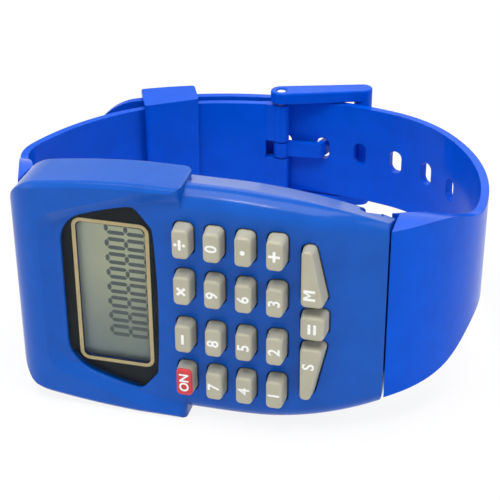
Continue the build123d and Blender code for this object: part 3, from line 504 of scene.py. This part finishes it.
def bar(width, height, x=0.0, y=0.0):
    corner = min(width, height) / 4
    return [(x + px, y + py) for px, py in rounded_rectangle(width, height, corner, 3)]


def disc(radius, x=0.0, y=0.0, steps=24):
    angles = [2 * math.pi * n / steps for n in range(steps)]
    return [(x + radius * math.cos(a), y + radius * math.sin(a)) for a in angles]


def turned(points, degrees):
    c, s = math.cos(math.radians(degrees)), math.sin(math.radians(degrees))
    return [(x * c - y * s, x * s + y * c) for x, y in points]


def cross(length, width):
    """Outline of a cross with arms of one length and width."""
    a, b = length / 2, width / 2
    arm = [(a, b), (b, b), (b, a), (-b, a)]
    return [point for n in range(4) for point in turned(arm, 90 * n)[:3]]


def letter_m(width, height, stroke):
    """Outline of an upright M, its middle at the origin."""
    right, top = width / 2, height / 2
    inner = right - stroke
    shoulder = right - 1.15 * stroke
    half = [
        (0, -0.35 * top),
        (inner, 0.42 * top),
        (inner, -top),
        (right, -top),
        (right, top),
        (shoulder, top),
        (0, 0.18 * top),
    ]
    mirrored = [(-x, y) for x, y in reversed(half[1:-1])]
    return half + mirrored


signs = {
    "key_minus": [bar(SIGN_LENGTH, SIGN_WIDTH)],
    "key_divide": [
        bar(SIGN_LENGTH, SIGN_WIDTH), disc(SIGN_DOT, 0, SIGN_LIFT), disc(SIGN_DOT, 0, -SIGN_LIFT),
    ],
    "key_equals": [
        bar(SIGN_LENGTH, SIGN_WIDTH, 0, EQUALS_LIFT), bar(SIGN_LENGTH, SIGN_WIDTH, 0, -EQUALS_LIFT),
    ],
    "key_point": [disc(POINT_RADIUS)],
    "key_plus": [cross(SIGN_LENGTH, SIGN_WIDTH)],
    "key_times": [turned(cross(SIGN_LENGTH, SIGN_WIDTH), 45)],
    "key_m": [letter_m(*M_SIZE)],
}
for name, outlines in signs.items():
    x, y, z = legend_place(name)
    mesh = outline_mesh("legend_" + name, outlines, PRINT_THICK)
    piece("legend_" + name, mesh, white_ink, name, on_dial(x, y, z))

# The ON key has a red patch under its word
x, y, z = legend_place("key_on")
patch = outline_mesh("patch_key_on", [rounded_rectangle(*ON_PATCH)], PRINT_THICK)
piece("patch_key_on", patch, red_patch, "key_on", on_dial(x, y, z))
word = text_mesh("legend_key_on", "ON", ON_SIZE, LEGEND_BOLD)
piece("legend_key_on", word, white_ink, "key_on", on_dial(x, y - PRINT_THICK * 1.5, z))

# Gold line printed round the display, between the window and its mask
mask_top = -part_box("window_mask")[0].y / MM
gold_thick = PRINT_THICK / 2
gold_outer = rounded_rectangle(
    VIEW_WIDTH + 2 * GOLD_OUTER_MARGIN, VIEW_LENGTH + 2 * GOLD_OUTER_MARGIN, GOLD_CORNER
)
gold_inner = rounded_rectangle(
    VIEW_WIDTH + 2 * (GOLD_OUTER_MARGIN - GOLD_WIDTH),
    VIEW_LENGTH + 2 * (GOLD_OUTER_MARGIN - GOLD_WIDTH),
    GOLD_CORNER - GOLD_WIDTH,
)
piece(
    "gold_line", ring_mesh("gold_line", gold_outer, gold_inner, gold_thick), gold_ink,
    "case", on_dial(LCD_CENTRE, -mask_top - gold_thick / 2, 0),
)


# Seven-segment digits, all lit
def segment(x0, y0, x1, y1):
    """Six-sided segment between two corners of the digit."""
    dx, dy = x1 - x0, y1 - y0
    length = math.hypot(dx, dy)
    ux, uy = dx / length, dy / length
    nx, ny = -uy * SEGMENT_WIDTH / 2, ux * SEGMENT_WIDTH / 2
    a, b = SEGMENT_GAP, SEGMENT_GAP + SEGMENT_WIDTH / 2
    return [
        (x0 + ux * a, y0 + uy * a),
        (x0 + ux * b - nx, y0 + uy * b - ny),
        (x1 - ux * b - nx, y1 - uy * b - ny),
        (x1 - ux * a, y1 - uy * a),
        (x1 - ux * b + nx, y1 - uy * b + ny),
        (x0 + ux * b + nx, y0 + uy * b + ny),
    ]


half_w, half_h = (DIGIT_WIDTH - SEGMENT_WIDTH) / 2, (DIGIT_HEIGHT - SEGMENT_WIDTH) / 2
SEGMENTS = [
    (-half_w, half_h, half_w, half_h),
    (half_w, 0, half_w, half_h),
    (half_w, -half_h, half_w, 0),
    (-half_w, -half_h, half_w, -half_h),
    (-half_w, -half_h, -half_w, 0),
    (-half_w, 0, -half_w, half_h),
    (-half_w, 0, half_w, 0),
]
digit_places = [DIGIT_LAST_Z - (DIGIT_COUNT - 1 - n) * DIGIT_PITCH for n in range(DIGIT_COUNT)]
dark = [
    [(x + place_z, y) for x, y in segment(*corners)] for place_z in digit_places for corners in SEGMENTS
]
dark += [disc(DOT_RADIUS, digit_places[n] + DIGIT_PITCH / 2, -half_h) for n in DOTS_AFTER]
lcd_top = -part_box("lcd_panel")[0].y / MM
piece(
    "lcd_digits", outline_mesh("lcd_digits", dark, PRINT_THICK), digit_ink,
    "case", on_dial(DIGIT_CENTRE_X, -lcd_top, 0),
)

# Stage, light and camera


def towards(azimuth, elevation):
    """Direction from the object to a place, in degrees from straight before the dial."""
    a, e = math.radians(azimuth), math.radians(elevation)
    return Vector((math.sin(a) * math.cos(e), -math.cos(a) * math.cos(e), math.sin(e)))


def aim(obj, target):
    obj.rotation_mode = "QUATERNION"
    obj.rotation_quaternion = (target - obj.location).to_track_quat("-Z", "Y")


def lamp(name, azimuth, elevation, width, height, power):
    data = bpy.data.lights.new(name, "AREA")
    data.shape = "RECTANGLE"
    data.size, data.size_y = width * MM, height * MM
    data.energy = power
    obj = link(bpy.data.objects.new(name, data))
    obj.location = LAMP_TARGET + LAMP_DISTANCE * towards(azimuth, elevation)
    aim(obj, LAMP_TARGET)


for values in LAMPS:
    lamp(*values)


def seen_rays(tree):
    """One for the rays that show the surroundings: the camera's, mirrored and refracted ones."""
    path = tree.nodes.new("ShaderNodeLightPath")
    total = path.outputs["Is Camera Ray"]
    for ray in ("Is Glossy Ray", "Is Transmission Ray"):
        either = node(tree, "ShaderNodeMath", operation="MAXIMUM")
        tree.links.new(total, either.inputs[0])
        tree.links.new(path.outputs[ray], either.inputs[1])
        total = either.outputs[0]
    return total


world = bpy.data.worlds.new("studio")
bpy.context.scene.world = world
world.use_nodes = True
tree = world.node_tree
tree.nodes.clear()
out = tree.nodes.new("ShaderNodeOutputWorld")
seen = node(tree, "ShaderNodeBackground", Color=WHITE, Strength=1.0)
fill = node(tree, "ShaderNodeBackground", Color=WHITE, Strength=FILL_STRENGTH)
mix = tree.nodes.new("ShaderNodeMixShader")
tree.links.new(seen_rays(tree), mix.inputs["Fac"])
tree.links.new(fill.outputs[0], mix.inputs[1])
tree.links.new(seen.outputs[0], mix.inputs[2])
tree.links.new(mix.outputs[0], out.inputs["Surface"])

# Floor: white where the camera sees it, with the object's soft shadow
floor_z = cad_box[0].z - FLOOR_DROP
mesh = bpy.data.meshes.new("floor")
corners = [(-1, -1), (1, -1), (1, 1), (-1, 1)]
mesh.from_pydata([(x * FLOOR_REACH, y * FLOOR_REACH, floor_z) for x, y in corners], [], [(0, 1, 2, 3)])
floor = link(bpy.data.objects.new("floor", mesh))
mat, tree, shader = tree_of("floor_white")
shader.inputs["Base Color"].default_value = FLOOR_COLOUR
shader.inputs["Roughness"].default_value = 0.9
shader.inputs["Specular IOR Level"].default_value = 0.1
glow = node(tree, "ShaderNodeEmission", Color=WHITE, Strength=1.0)
share = node(tree, "ShaderNodeMath", operation="MULTIPLY")
share.inputs[1].default_value = FLOOR_GLOW
tree.links.new(seen_rays(tree), share.inputs[0])
blend = tree.nodes.new("ShaderNodeMixShader")
tree.links.new(share.outputs[0], blend.inputs["Fac"])
tree.links.new(shader.outputs[0], blend.inputs[1])
tree.links.new(glow.outputs[0], blend.inputs[2])
tree.links.new(blend.outputs[0], tree.nodes["Material Output"].inputs["Surface"])
mesh.materials.append(mat)

camera_data = bpy.data.cameras.new("camera")
camera_data.sensor_width = SENSOR_WIDTH
camera_data.lens = LENS
camera_data.clip_start = CLIP_NEAR
camera_data.clip_end = CLIP_FAR
camera = link(bpy.data.objects.new("camera", camera_data))
back = towards(CAMERA_AZIMUTH, CAMERA_ELEVATION)
azimuth, roll = math.radians(CAMERA_AZIMUTH), math.radians(CAMERA_ROLL)
right = Vector((math.cos(azimuth), math.sin(azimuth), 0))
up = back.cross(right)
tilted_right = right * math.cos(roll) + up * math.sin(roll)
tilted_up = up * math.cos(roll) - right * math.sin(roll)
axes = Matrix((tilted_right, tilted_up, back)).transposed().to_4x4()
camera.matrix_world = Matrix.Translation(CAMERA_TARGET + back * CAMERA_DISTANCE) @ axes
bpy.context.scene.camera = camera
bpy.context.scene.view_settings.view_transform = "Standard"
